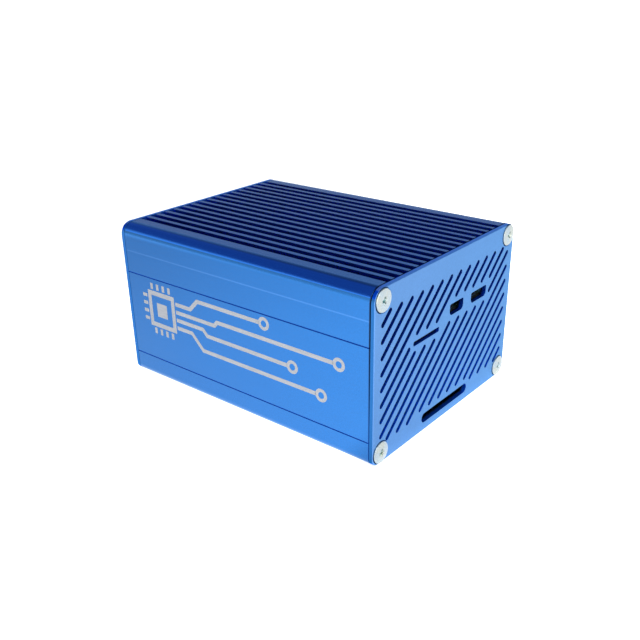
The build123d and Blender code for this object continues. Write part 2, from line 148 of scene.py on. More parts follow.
class Nodes:
    """Short calls that add shader nodes to a tree and give back their outputs."""

    def __init__(self, tree):
        self.tree = tree

    def node(self, kind, **settings):
        made = self.tree.nodes.new(kind)
        for key, value in settings.items():
            setattr(made, key, value)
        return made

    def feed(self, node, socket, value):
        """Links an output to a socket, or sets the socket to a plain value."""
        if isinstance(value, bpy.types.NodeSocket):
            self.tree.links.new(value, node.inputs[socket])
        else:
            node.inputs[socket].default_value = value

    def split(self, vector, name):
        """The X, Y or Z of a vector."""
        made = self.node("ShaderNodeSeparateXYZ")
        self.feed(made, 0, vector)
        return made.outputs[name]

    def math(self, operation, first, second=0.0):
        made = self.node("ShaderNodeMath", operation=operation)
        self.feed(made, 0, first)
        self.feed(made, 1, second)
        return made.outputs[0]

    def product(self, *shares):
        made = shares[0]
        for share in shares[1:]:
            made = self.math("MULTIPLY", made, share)
        return made

    def remap(self, value, from_low, from_high, to_low, to_high):
        """A value with one range stretched to another and held at its ends."""
        made = self.node("ShaderNodeMapRange", clamp=True)
        self.feed(made, "Value", value)
        self.feed(made, "From Min", from_low)
        self.feed(made, "From Max", from_high)
        self.feed(made, "To Min", to_low)
        self.feed(made, "To Max", to_high)
        return made.outputs["Result"]

    def rise(self, value, start, end, peak=1.0):
        """A share that grows from 0 where value is start to peak where it is end."""
        return self.remap(value, start, end, 0.0, peak)

    def fall(self, value, start, end):
        """A share that drops from 1 where value is start to 0 where it is end."""
        return self.remap(value, start, end, 1.0, 0.0)

    def band(self, value, centre, reach):
        """1 at a place along value, falling to 0 at a reach from it."""
        away = self.math("ABSOLUTE", self.math("SUBTRACT", value, centre))
        return self.fall(away, 0.0, reach)

    def mix(self, share, first, second):
        """The first colour with a share of the second over it."""
        made = self.node("ShaderNodeMix", data_type="RGBA")
        self.feed(made, "Factor", share)
        for index, value in ((COLOUR_A, first), (COLOUR_B, second)):
            plain = not isinstance(value, bpy.types.NodeSocket)
            self.feed(made, index, (*value, 1.0) if plain else value)
        return made.outputs[COLOUR_RESULT]

    def ramp(self, value, stops):
        """A colour ramp with (position, colour) stops."""
        made = self.node("ShaderNodeValToRGB")
        self.feed(made, "Fac", value)
        elements = made.color_ramp.elements
        for element, (position, colour) in zip(elements, (stops[0], stops[-1])):
            element.position, element.color = position, (*colour, 1.0)
        for position, colour in stops[1:-1]:
            elements.new(position).color = (*colour, 1.0)
        return made.outputs["Color"]


class Finish(Nodes):
    """A procedural material: a Principled shader and the nodes in front of it."""

    def __init__(self, name, metallic=0.0, roughness=0.5, **sockets):
        self.material = bpy.data.materials.new(name)
        self.material.use_nodes = True
        super().__init__(self.material.node_tree)
        self.shader = self.tree.nodes["Principled BSDF"]
        self.shader.inputs["Metallic"].default_value = metallic
        self.shader.inputs["Roughness"].default_value = roughness
        for socket, value in sockets.items():
            self.shader.inputs[socket.replace("_", " ")].default_value = value
        self.place = self.node("ShaderNodeTexCoord").outputs["Object"]
        self.bump_normal = None

    def stretched(self, scale):
        mapping = self.node("ShaderNodeMapping")
        self.feed(mapping, "Vector", self.place)
        self.feed(mapping, "Scale", scale)
        return mapping.outputs["Vector"]

    def noise(self, scale, detail=3.0, roughness=0.55):
        """Noise from 0 to 1. scale is features per metre, one number or one for each axis."""
        made = self.node("ShaderNodeTexNoise")
        vector = self.stretched(scale if hasattr(scale, "__len__") else (scale,) * 3)
        self.feed(made, "Vector", vector)
        self.feed(made, "Scale", 1.0)
        self.feed(made, "Detail", detail)
        self.feed(made, "Roughness", roughness)
        return made.outputs["Fac"]

    def cells(self, scale, feature="F1", randomness=1.0):
        """Distance in a pattern of cells. scale is cells per metre."""
        made = self.node("ShaderNodeTexVoronoi", feature=feature)
        self.feed(made, "Vector", self.stretched((scale,) * 3))
        self.feed(made, "Scale", 1.0)
        self.feed(made, "Randomness", randomness)
        return made.outputs["Distance"]

    def axis(self, name):
        """Position along one axis of the row frame, in metres."""
        return self.split(self.place, name)

    def away(self, name):
        """Distance from the row frame's middle along one axis, in metres."""
        return self.math("ABSOLUTE", self.axis(name))

    def facing(self, name):
        """How far the flat surface faces along one axis, from 0 to 1."""
        normal = self.node("ShaderNodeNewGeometry").outputs["True Normal"]
        return self.math("ABSOLUTE", self.split(normal, name))

    def tilt(self, name):
        """The smooth surface normal's share of one axis, from -1 to 1."""
        return self.split(self.node("ShaderNodeNewGeometry").outputs["Normal"], name)

    def mottled(self, pattern, colour, darkest, lightest):
        """A colour made darker and lighter by a pattern."""
        return self.mix(pattern, shades(colour, darkest), shades(colour, lightest))

    def tinged(self, tone, pattern, span, share, colour):
        """A tone with up to a share of a colour where a pattern runs through a span."""
        return self.mix(self.rise(pattern, *span, share), tone, colour)

    def colour(self, value):
        self.feed(self.shader, "Base Color", value)

    def roughen(self, pattern, span, lowest, highest):
        """Roughness from lowest to highest as a pattern runs through a span."""
        self.feed(self.shader, "Roughness", self.remap(pattern, *span, lowest, highest))

    def coat(self, share, bare, covered):
        """Coat weight that goes from bare to covered with a share."""
        self.feed(self.shader, "Coat Weight", self.remap(share, 0.0, 1.0, bare, covered))

    def bump(self, pattern, height, strength):
        """Relief of a pattern with a height in metres, over the relief so far."""
        made = self.node("ShaderNodeBump")
        self.feed(made, "Height", pattern)
        self.feed(made, "Distance", height)
        self.feed(made, "Strength", strength)
        if self.bump_normal is not None:
            self.feed(made, "Normal", self.bump_normal)
        self.bump_normal = made.outputs["Normal"]
        self.feed(self.shader, "Normal", self.bump_normal)


def shades(colour, factor):
    return tuple(min(1.0, channel * factor) for channel in colour)


# ---------------------------------------------------------------- materials
def anodised(name, coat_roughness, gloss_tint):
    """A finish for aluminium under a clear, dyed layer."""
    return Finish(
        name,
        metallic=1.0,
        Coat_Roughness=coat_roughness,
        Coat_IOR=1.6,
        Specular_Tint=gloss_tint,
    )


def gap_shade_share(finish):
    """How much painted shade the gap takes: 0 at its lit foot, 1 high up."""
    return finish.rise(finish.axis("Z"), *GAP_Z)


def painted_gap_shade(finish):
    """Painted shade in the gap between tube and plate: dark high at the front, a lighter painted
    blue elsewhere.
    """
    front = finish.rise(finish.axis("X"), *MIDDLE_X)
    return finish.mix(finish.product(front, gap_shade_share(finish)), GAP_LIT_BLUE, GAP_SHADE_BLUE)


def anodised_case():
    """Extruded aluminium: fine die lines along the case under a satin blue anodised layer."""
    finish = anodised("anodised_case", coat_roughness=0.12, gloss_tint=CASE_GLOSS_TINT)
    lines = finish.noise((10.0, 2600.0, 2600.0), detail=2.0)
    grain = finish.noise(5200.0, detail=2.0)
    clouds = finish.noise((18.0, 60.0, 60.0))
    speckle = finish.noise(2100.0, detail=2.0, roughness=0.7)
    tone = finish.mottled(clouds, CASE_BLUE, darkest=0.9, lightest=1.1)
    die_line, fleck = shades(CASE_BLUE, 1.25), shades(CASE_BLUE, 1.22)
    tone = finish.tinged(tone, lines, span=(0.35, 0.75), share=0.18, colour=die_line)
    tone = finish.tinged(tone, speckle, span=(0.35, 0.65), share=0.6, colour=fleck)
    height, across, up = finish.axis("Z"), finish.away("Y"), finish.tilt("Z")
    # a faint witness line of the die along each side
    witness_share = 0.22
    witness = finish.band(height, WITNESS_Z, WITNESS_REACH)
    witness = finish.product(witness, finish.facing("Y"), witness_share)
    tone = finish.mix(witness, tone, EDGE_BLUE)
    # the lower of the two side lines shines, as the table lights it from below
    low_line = finish.band(height, LOW_LINE_Z, LOW_LINE_REACH)
    low_line = finish.product(low_line, finish.fall(across, *LINE_FLOOR_Y))
    tone = finish.mix(low_line, tone, LINE_BLUE)
    # painted light: the rounded upper corners, picked out by how far they face up, take a brighter,
    # bluer colour for how the light falls on them
    arc = finish.product(
        finish.rise(up, *ARC_FOOT_UP), finish.fall(up, *ARC_HEAD_UP), finish.rise(across, *ARC_Y)
    )
    tone = finish.mix(arc, tone, ARC_PAINTED_LIGHT_BLUE)
    # painted shade: the walls of the roof's grooves are painted darker the deeper they lie, and
    # lighter near the top
    groove = finish.product(
        finish.fall(across, *GROOVES_Y),
        finish.rise(height, *GROOVES_Z),
        finish.fall(up, *GROOVE_WALL_UP),
    )
    wall = finish.mix(finish.rise(height, *GROOVE_WALL_Z), GROOVE_SHADE_BLUE, GROOVE_LIT_BLUE)
    tone = finish.mix(groove, tone, wall)
    # painted shade: the tube's front end darkens into the gap's shade, and so do its end faces
    brink_shade = finish.rise(finish.axis("X"), *BRINK_X, BRINK_SHADE_SHARE)
    tone = finish.mix(finish.product(brink_shade, gap_shade_share(finish)), tone, GAP_SHADE_BLUE)
    end = finish.rise(finish.facing("X"), 0.5, 0.8)
    finish.colour(finish.mix(end, tone, painted_gap_shade(finish)))
    finish.coat(arc, bare=0.2, covered=0.05)
    finish.roughen(finish.math("ADD", lines, grain), span=(0.6, 1.4), lowest=0.17, highest=0.25)
    finish.bump(lines, height=0.004 * MM, strength=0.5)
    finish.bump(grain, height=0.006 * MM, strength=0.6)
    return finish.material


def anodised_plate():
    """Bead-blasted aluminium plate: an even fine grain under a lighter blue anodised layer."""
    finish = anodised("anodised_plate", coat_roughness=0.3, gloss_tint=PLATE_GLOSS_TINT)
    grain = finish.noise(4200.0, roughness=0.65)
    clouds = finish.noise(70.0)
    speckle = finish.noise(2300.0, detail=2.0, roughness=0.7)
    light = shades(PLATE_BLUE, 1.2)
    tone = finish.mottled(clouds, PLATE_BLUE, darkest=0.93, lightest=1.07)
    tone = finish.tinged(tone, grain, span=(0.35, 0.7), share=0.25, colour=light)
    tone = finish.tinged(tone, speckle, span=(0.35, 0.65), share=0.6, colour=light)
    face, height = finish.facing("X"), finish.axis("Z")
    # painted highlight: the chamfers round the plate's faces are lightened
    chamfer_highlight_share = 0.7
    chamfer_highlight = finish.product(finish.rise(face, 0.3, 0.6), finish.fall(face, 0.8, 0.97))
    tone = finish.mix(finish.product(chamfer_highlight, chamfer_highlight_share), tone, EDGE_BLUE)
    # cut walls: the plate's own edge in separate painted tones for the front and rear plates,
    # painted lighter where it faces up, and the deeper coloured walls of the vents and openings,
    # painted lighter at their foot
    opening = finish.product(
        finish.fall(finish.away("Y"), *PLATE_RIM_Y),
        finish.rise(height, *PLATE_FOOT_Z),
        finish.fall(height, *PLATE_HEAD_Z),
    )
    front = finish.rise(finish.axis("X"), *MIDDLE_X)
    rim = finish.mix(front, REAR_EDGE_BLUE, PLATE_EDGE_BLUE)
    rim = finish.mix(finish.rise(finish.tilt("Z"), 0.4, 0.8), rim, PLATE_TOP_LIT_BLUE)
    vent = finish.mix(finish.fall(height, *VENT_LIT_Z), VENT_BLUE, VENT_LIT_BLUE)
    wall = finish.fall(face, 0.1, 0.3)
    tone = finish.mix(wall, tone, finish.mix(opening, rim, vent))
    # painted shade: the plate's inner faces, seen in the gap, take the painted gap shade
    inside = finish.fall(finish.away("X"), *PLATE_INSIDE_X)
    finish.colour(finish.mix(inside, tone, painted_gap_shade(finish)))
    finish.coat(wall, bare=0.20, covered=0.02)
    finish.roughen(grain, span=(0.3, 0.7), lowest=0.34, highest=0.46)
    finish.bump(grain, height=0.010 * MM, strength=0.8)
    return finish.material


def zinc_screw():
    """Bright zinc plate with a faint yellow and blue passivation bloom, painted shade in its recess.
    """
    finish = Finish("zinc_screw", metallic=1.0)
    yellow_share, cyan_share = 0.55, 0.44
    bloom = finish.noise(420.0)
    turned = finish.noise(2600.0, detail=2.0)
    tone = finish.tinged(ZINC, bloom, span=(0.4, 0.65), share=yellow_share, colour=ZINC_YELLOW)
    tone = finish.tinged(tone, bloom, span=(0.6, 0.35), share=cyan_share, colour=ZINC_CYAN)
    # painted shade: teal grey down in the recess, under its mouth
    recess_shade = finish.fall(finish.away("X"), screw_top - RECESS_FLOOR, screw_top - RECESS_MOUTH)
    finish.colour(finish.mix(recess_shade, tone, RECESS_SHADE_TEAL))
    finish.roughen(turned, span=(0.3, 0.7), lowest=0.22, highest=0.36)
    finish.bump(turned, height=0.006 * MM, strength=0.5)
    return finish.material


def metal(name, colour, roughness, streak_scale, streak_height):
    """Plain metal with streaks or grain in its gloss, tone and surface."""
    finish = Finish(name, metallic=1.0)
    streaks = finish.noise(streak_scale)
    clouds = finish.noise(140.0, detail=2.0)
    tone = finish.mottled(clouds, colour, darkest=0.86, lightest=1.08)
    dark = shades(colour, 0.7)
    finish.colour(finish.tinged(tone, streaks, span=(0.4, 0.8), share=0.3, colour=dark))
    finish.roughen(streaks, span=(0.3, 0.7), lowest=roughness * 0.8, highest=roughness * 1.3)
    finish.bump(streaks, height=streak_height, strength=0.7)
    return finish.material


def moulded(name, colour, roughness, grain_scale, grain_height):
    """Moulded plastic or resin with a spark-eroded grain and slight flow marks."""
    finish = Finish(name)
    grain = finish.noise(grain_scale, roughness=0.6)
    flow = finish.noise((60.0, 220.0, 90.0), detail=2.0)
    tone = finish.mottled(flow, colour, darkest=0.8, lightest=1.25)
    pale = shades(colour, 1.6)
    finish.colour(finish.tinged(tone, grain, span=(0.45, 0.75), share=0.35, colour=pale))
    finish.roughen(grain, span=(0.3, 0.7), lowest=roughness * 0.85, highest=roughness * 1.15)
    finish.bump(grain, height=grain_height, strength=0.8)
    return finish.material


def board_laminate():
    """Green solder mask with tracks showing through it, over a woven laminate at the edges."""
    finish = Finish("board_laminate", Coat_Weight=0.12, Coat_Roughness=0.2)
    tracks = finish.cells(420.0, feature="DISTANCE_TO_EDGE", randomness=0.55)
    copper = finish.fall(tracks, 0.05, 0.09)
    via_share = 0.6
    via = finish.fall(finish.cells(520.0, randomness=0.8), 0.10, 0.14)
    mask = finish.mix(copper, MASK_GREEN, MASK_COPPER_GREEN)
    mask = finish.mix(finish.product(via, via_share), mask, VIA_TIN)
    weave = finish.noise((900.0, 900.0, 5200.0), detail=1.0)
    core = finish.mix(weave, LAMINATE_DARK, LAMINATE_PALE)
    flat = finish.rise(finish.facing("Z"), 0.4, 0.6)
    finish.colour(finish.mix(flat, core, mask))
    finish.roughen(finish.noise(800.0), span=(0.3, 0.7), lowest=0.38, highest=0.52)
    finish.bump(copper, height=0.02 * MM, strength=0.6)
    return finish.material


def led_lens():
    """Clear epoxy lens over a pale phosphor."""
    finish = Finish("led_lens", roughness=0.12, Coat_Weight=0.8, Coat_Roughness=0.05)
    haze = finish.noise(900.0, detail=2.0)
    finish.colour(finish.mix(haze, LENS_GREEN, LENS_PALE))
    finish.bump(haze, height=0.004 * MM, strength=0.4)
    return finish.material


def thermal_pad():
    """Soft filled silicone: matt, speckled with filler, slightly uneven."""
    finish = Finish("thermal_pad", Sheen_Weight=0.15)
    filler_share = 0.5
    speck = finish.fall(finish.cells(2400.0), 0.1, 0.35)
    finish.colour(finish.mix(finish.product(speck, filler_share), PAD_BLUE, PAD_FILLER))
    finish.roughen(finish.noise(600.0), span=(0.3, 0.7), lowest=0.62, highest=0.82)
    finish.bump(finish.noise(500.0), height=0.05 * MM, strength=0.7)
    return finish.material


def etched_mark():
    """Laser-etched aluminium: the blue layer burnt off to a pale, matt, slightly rastered grey."""
    finish = Finish("etched_mark", metallic=0.55)
    raster = finish.noise((300.0, 300.0, 6400.0), detail=1.0)
    burn = finish.noise(240.0)
    tone = finish.mottled(burn, ETCHED, darkest=0.86, lightest=1.1)
    dark = shades(ETCHED, 0.8)
    finish.colour(finish.tinged(tone, raster, span=(0.4, 0.8), share=0.35, colour=dark))
    finish.roughen(raster, span=(0.3, 0.7), lowest=0.48, highest=0.62)
    finish.bump(raster, height=0.006 * MM, strength=0.6)
    return finish.material


METALS = {  # colour, roughness, streaks per metre along X, Y and Z, height of a streak
    "bare_aluminium": ((0.40, 0.41, 0.43), 0.42, (30.0, 2400.0, 2400.0), 0.005 * MM),
    "standoff_brass": ((0.78, 0.58, 0.28), 0.24, (900.0, 900.0, 5200.0), 0.006 * MM),
    "socket_steel": ((0.46, 0.47, 0.48), 0.34, (2600.0, 120.0, 2600.0), 0.004 * MM),
    "gold_contact": ((0.86, 0.60, 0.20), 0.22, (2400.0, 300.0, 2400.0), 0.003 * MM),
}
MOULDED = {  # colour, roughness, grains per metre, height of a grain
    "chip_resin": ((0.022, 0.022, 0.025), 0.55, 4200.0, 0.01 * MM),
    "ceramic_part": ((0.42, 0.33, 0.24), 0.45, 3000.0, 0.006 * MM),
    "inductor_ferrite": ((0.09, 0.09, 0.10), 0.6, 2600.0, 0.02 * MM),
    "black_connector": ((0.012, 0.012, 0.013), 0.55, 3600.0, 0.01 * MM),
    "card_plastic": ((0.018, 0.018, 0.02), 0.42, 5200.0, 0.006 * MM),
}
FINISHES = {
    "anodised_case": anodised_case(),
    "anodised_plate": anodised_plate(),
    "zinc_screw": zinc_screw(),
    "board_laminate": board_laminate(),
    "led_lens": led_lens(),
    "thermal_pad": thermal_pad(),
}
FINISHES.update({name: metal(name, *values) for name, values in METALS.items()})
FINISHES.update({name: moulded(name, *values) for name, values in MOULDED.items()})

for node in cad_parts.values():
    for index, held in enumerate(node.data.materials):
        node.material_slots[index].link = "OBJECT"
        node.material_slots[index].material = FINISHES[held.name.split(".")[0]]


# ---------------------------------------------------------------- ways to build a fine piece
def extruded(built, loop, thickness, to_frame):
    """Adds a flat (u, v) loop with a thickness to a mesh, placed by to_frame."""
    lower = [built.verts.new(to_frame @ Vector((u, v, 0.0))) for u, v in loop]
    upper = [built.verts.new(to_frame @ Vector((u, v, thickness))) for u, v in loop]
    built.faces.new(upper)
    built.faces.new(list(reversed(lower)))
    for index in range(len(loop)):
        following = (index + 1) % len(loop)
        built.faces.new((lower[index], lower[following], upper[following], upper[index]))


def finished(built, name, material, body="case"):
    """Turns a built mesh into a piece that rides on a body and has a finish."""
    bmesh.ops.recalc_face_normals(built, faces=built.faces)
    mesh = bpy.data.meshes.new(name)
    built.to_mesh(mesh)
    built.free()
    mesh.materials.append(material)
    piece = bpy.data.objects.new(name, mesh)
    bpy.context.scene.collection.objects.link(piece)
    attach(piece, body)


def flat_piece(name, loops, thickness, to_frame, slot, material=None, body="case"):
    """One mesh of flat shapes with a thickness, drawn as loops of (u, v) points in mm.

    to_frame places the loops in the row frame, in metres. The slot's own finish is used
    where no other material is given."""
    built = bmesh.new()
    for loop in loops:
        in_metres = [(u * MM, v * MM) for u, v in loop]
        extruded(built, in_metres, thickness * MM, to_frame)
    finished(built, name, material or FINISHES[slot], body)


def blocks(name, boxes, slot, edge):
    """One mesh of small blocks, each given as low and high corners in mm, with rounded edges."""
    built = bmesh.new()
    for low, high in boxes:
        low, high = Vector(low) * MM, Vector(high) * MM
        place = Matrix.Translation((low + high) / 2) @ Matrix.Diagonal((*(high - low), 1.0))
        bmesh.ops.create_cube(built, size=1.0, matrix=place)
    bmesh.ops.bevel(
        built, geom=built.edges[:], offset=edge * MM, segments=2, profile=0.6, affect="EDGES"
    )
    finished(built, name, FINISHES[slot])


def stroke(points, width):
    """Outline of a track of even width along points, its corners mitred."""
    sharpest = 0.5  # keeps the mitre of a sharp corner short
    left, right = [], []
    path = [Vector(point) for point in points]
    for index, point in enumerate(path):
        before = (point - path[index - 1]).normalized() if index else None
        after = (path[index + 1] - point).normalized() if index + 1 < len(path) else None
        along = ((before or after) + (after or before)).normalized()
        across = Vector((-along.y, along.x))
        reach = width / 2 / max(sharpest, along.dot(after or before))
        left.append(tuple(point + across * reach))
        right.append(tuple(point - across * reach))
    return left + right[::-1]


def ring_halves(centre, outer, inner, steps=20):
    """A ring as two half rings, so that each is one plain loop."""
    u, v = centre
    halves = []
    for start in (0.0, math.pi):
        arc = [start + math.pi * step / steps for step in range(steps + 1)]
        out = [(u + outer * math.cos(a), v + outer * math.sin(a)) for a in arc]
        back = [(u + inner * math.cos(a), v + inner * math.sin(a)) for a in arc[::-1]]
        halves.append(out + back)
    return halves


CORNERS = [(-1, -1), (1, -1), (1, 1), (-1, 1)]  # of a rectangle, in order round it


def block(centre, width, height):
    u, v = centre
    return [(u + side * width / 2, v + end * height / 2) for side, end in CORNERS]


def square_ring(centre, width, height, line):
    """A rectangular frame as four mitred bars."""
    outer = block(centre, width, height)
    inner = block(centre, width - 2 * line, height - 2 * line)
    return [
        [outer[first], outer[second], inner[second], inner[first]]
        for first, second in ((0, 1), (1, 2), (2, 3), (3, 0))
    ]


def placed(name):
    """Centre, low and high corners of a CAD node, in millimetres."""
    low, high = (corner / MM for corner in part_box(name))
    return (low + high) / 2, low, high


# ---------------------------------------------------------------- fine pieces, in millimetres
def side_mark():
    """A plain pictogram etched on the side: a chip and the circuit tracks that leave it."""
    chip_u, chip_v = -32.0, 24.6  # the chip's middle, along the case and up its side
    size, line, core = 12.0, 1.5, 4.6
    pins, pin_length, pin_width, pin_pitch, pin_gap = 4, 2.0, 1.1, 2.6, 0.5
    track_width, eye_outer, eye_inner, eye_shift = 1.25, 2.0, 1.0, 1.9
    sunk, thickness = 0.004, 0.018
    loops = square_ring((chip_u, chip_v), size, size, line) + [block((chip_u, chip_v), core, core)]
    reach = size / 2 + pin_gap + pin_length / 2
    for count in range(pins):
        offset = (count - (pins - 1) / 2) * pin_pitch
        for sign in (-1, 1):
            loops.append(block((chip_u + offset, chip_v + sign * reach), pin_width, pin_length))
        loops.append(block((chip_u - reach, chip_v + offset), pin_length, pin_width))
    start = chip_u + size / 2 + pin_gap
    tracks = [  # along the case, and up from the chip's middle
        [(start, 3.9), (-19.0, 3.9), (-15.7, 7.2), (9.0, 7.2)],
        [(start, 1.3), (-9.0, 1.3), (-7.7, 2.6), (35.0, 2.6)],
        [(start, -1.3), (-14.0, -1.3), (-12.3, -3.0), (19.0, -3.0)],
        [(start, -3.9), (-19.0, -3.9), (-14.5, -8.4), (29.0, -8.4)],
    ]
    for track in tracks:
        lifted = [(u, v + chip_v) for u, v in track]
        end_u, end_v = lifted[-1]
        loops.append(stroke(lifted, track_width))
        loops += ring_halves((end_u + eye_shift, end_v), eye_outer, eye_inner)
    face = case_low.y + sunk * MM
    to_side = Matrix(((1, 0, 0, 0), (0, 0, -1, face), (0, 1, 0, 0), (0, 0, 0, 1)))
    flat_piece("side_mark", loops, thickness, to_side, "bare_aluminium", etched_mark())


def small_parts():
    """Rows of small resistors and capacitors on the board, with soldered end caps."""
    pitch = 2
    rows_along_x = [(range(-12, 3, pitch), -11.0), (range(-12, 23, pitch), 11.5)]
    rows_along_y = [
        (5.5, range(-7, 8, pitch)),
        (-15.5, range(-7, 8, pitch)),
        (36.5, range(-2, 6, pitch)),
        (-14.0, range(-19, -12, pitch)),
        (4.8, range(-21, -16, pitch)),
        (38.5, (-9, -13)),
    ]
    # each part lies across its row: its x and y, and the index of the axis that it lies along
    spots = [(x, y, 1) for row, y in rows_along_x for x in row]
    spots += [(x, y, 0) for x, row in rows_along_y for y in row]
    half_length, half_width, body_height = 0.5, 0.25, 0.32
    body_inset, cap_inset, cap_half, cap_proud, cap_height = 0.2, 0.12, 0.14, 0.02, 0.36
    bodies, caps = [], []
    for x, y, lie in spots:
        centre = Vector((x, y, board_high.z / MM))
        reach = Vector((half_width, half_width, 0.0))
        reach[lie] = half_length - body_inset
        bodies.append((centre - reach, centre + reach + Vector((0, 0, body_height))))
        reach = Vector((half_width + cap_proud, half_width + cap_proud, 0.0))
        reach[lie] = cap_half
        for sign in (-1, 1):
            middle = centre.copy()
            middle[lie] += sign * (half_length - cap_inset)
            caps.append((middle - reach, middle + reach + Vector((0, 0, cap_height))))
    blocks("passive_bodies", bodies, "ceramic_part", edge=0.03)
    blocks("passive_caps", caps, "socket_steel", edge=0.05)


def board_print():
    """Printed outlines round the chips and sockets, where they lie on the board."""
    margin_x, margin_y, line, thickness = 1.8, 1.4, 0.16, 0.012
    outlined = (
        "system_chip", "coprocessor_chip", "working_memory_chip", "flash_chip", "ethernet_chip",
        "usb_chip", "display_chip", "micro_hdmi_socket", "micro_usb_socket", "ethernet_jack",
        "power_jack",
    )
    bars = []
    for name in outlined:
        centre, low, high = placed(name)
        width, height = high.x - low.x + margin_x, high.y - low.y + margin_y
        bars += square_ring(centre.xy, width, height, line)
    on_board = [bar for bar in bars if all(board_low.x < u * MM < board_high.x for u, _ in bar)]
    ink = moulded(
        "board_ink", PRINT_WHITE, roughness=0.6, grain_scale=3000.0, grain_height=0.004 * MM
    )
    to_top = Matrix.Translation((0, 0, board_high.z))
    flat_piece("board_print", on_board, thickness, to_top, "board_laminate", ink)


def mounting_pads():
    """Tinned rings round the board's four screw holes."""
    inset, outer, inner, thickness = 3.4, 3.2, 1.7, 0.016
    pads = []
    for x in (board_low.x / MM + inset, board_high.x / MM - inset):
        for y in (board_low.y / MM + inset, board_high.y / MM - inset):
            pads += ring_halves((x, y), outer, inner)
    to_top = Matrix.Translation((0, 0, board_high.z))
    flat_piece("mounting_pads", pads, thickness, to_top, "socket_steel")


def chip_leads():
    """Bent leads along two sides of the flash chip and all four of the display chip."""
    leads = (("flash_chip", 4, 1.27, 0.42, False), ("display_chip", 10, 0.75, 0.3, True))
    shape = [  # side view of a lead: out from the chip, and up from the board
        (-0.2, 0.72), (0.28, 0.72), (0.48, 0.14), (0.95, 0.14),
        (0.95, 0.0), (0.38, 0.0), (0.19, 0.58), (-0.2, 0.58),
    ]
    built = bmesh.new()
    for name, count, pitch, width, on_ends in leads:
        centre, low, high = placed(name)
        sides = [(Vector((0, -1, 0)), -low.y), (Vector((0, 1, 0)), high.y)]
        if on_ends:
            sides += [(Vector((-1, 0, 0)), -low.x), (Vector((1, 0, 0)), high.x)]
        for out, reach in sides:
            across = Vector((-out.y, out.x, 0))
            turn = Matrix((out, Vector((0, 0, 1)), across)).transposed().to_4x4()
            for step in range(count):
                shift = (step - (count - 1) / 2) * pitch - width / 2
                root = centre - out * centre.dot(out) + out * reach + across * shift
                root.z = board_high.z / MM
                to_frame = Matrix.Scale(MM, 4) @ Matrix.Translation(root) @ turn
                extruded(built, shape, width, to_frame)
    finished(built, "chip_leads", FINISHES["socket_steel"])


def socket_liner():
    """Black liner of the network socket: a bore with a keyway for the plug's latch over it."""
    centre, low = placed("ethernet_jack")[:2]
    rear, front, skin, sill = low.x + 0.15, low.x + 14.9, 0.22, 0.1
    floor, roof, key = low.z + 2.2, low.z + 9.2, low.z + 10.5
    left, right = centre.y - 5.9, centre.y + 5.9
    key_left, key_right = centre.y - 3.1, centre.y + 3.1
    liner = [
        ((rear, left, floor), (front, right, floor + sill)),
        ((rear, left, floor), (front, left + skin, roof)),
        ((rear, right - skin, floor), (front, right, roof)),
        ((rear, left, roof - skin), (front, key_left, roof)),
        ((rear, key_right, roof - skin), (front, right, roof)),
        ((rear, key_left, roof), (front, key_left + skin, key)),
        ((rear, key_right - skin, roof), (front, key_right, key)),
        ((rear, key_left, key - skin), (front, key_right, key)),
        ((front - skin, left, floor), (front, right, roof)),
    ]
    blocks("socket_liner", liner, "black_connector", edge=0.05)


def socket_lamps():
    """Lamp windows in the upper corners of the network socket."""
    centre, low, high = placed("ethernet_jack")
    shift, half_width, proud, sunk, foot, head = 5.9, 1.4, 0.12, 0.4, 2.6, 0.8
    lamps = []
    for side in (-1, 1):
        y = centre.y + side * shift
        lamps.append(
            (
                (low.x - proud, y - half_width, high.z - foot),
                (low.x + sunk, y + half_width, high.z - head),
            )
        )
    blocks("socket_lamps", lamps, "led_lens", edge=0.1)


def power_contact():
    """Sprung contact under the pin of the power socket."""
    centre, low = placed("power_jack_pin")[:2]
    leaf = [(0.0, 0.0), (1.2, 0.28), (3.4, 0.55), (6.0, 0.20), (8.2, 0.02)]  # along, and up
    thickness, width, before_pin, below_pin = 0.14, 1.6, 0.4, 3.02
    shape = leaf + [(u, v + thickness) for u, v in reversed(leaf)]
    root = Vector((low.x - before_pin, centre.y - width / 2, centre.z - below_pin))
    to_bore = Matrix(((1, 0, 0, root.x), (0, 0, 1, root.y), (0, 1, 0, root.z), (0, 0, 0, 1)))
    built = bmesh.new()
    extruded(built, shape, width, Matrix.Scale(MM, 4) @ to_bore)
    finished(built, "power_contact", FINISHES["socket_steel"])


def power_rim():
    """Steel ring round the mouth of the power socket."""
    pin, jack_rear = placed("power_jack_pin")[0], placed("power_jack")[1].x
    outer, inner, steps, thickness, proud = 3.75, 3.15, 32, 0.14, 0.1
    mouth = (jack_rear - proud) * MM
    to_face = Matrix(((0, 0, 1, mouth), (1, 0, 0, 0), (0, 1, 0, 0), (0, 0, 0, 1)))
    rim = ring_halves((pin.y, pin.z), outer, inner, steps)
    flat_piece("power_rim", rim, thickness, to_face, "socket_steel")


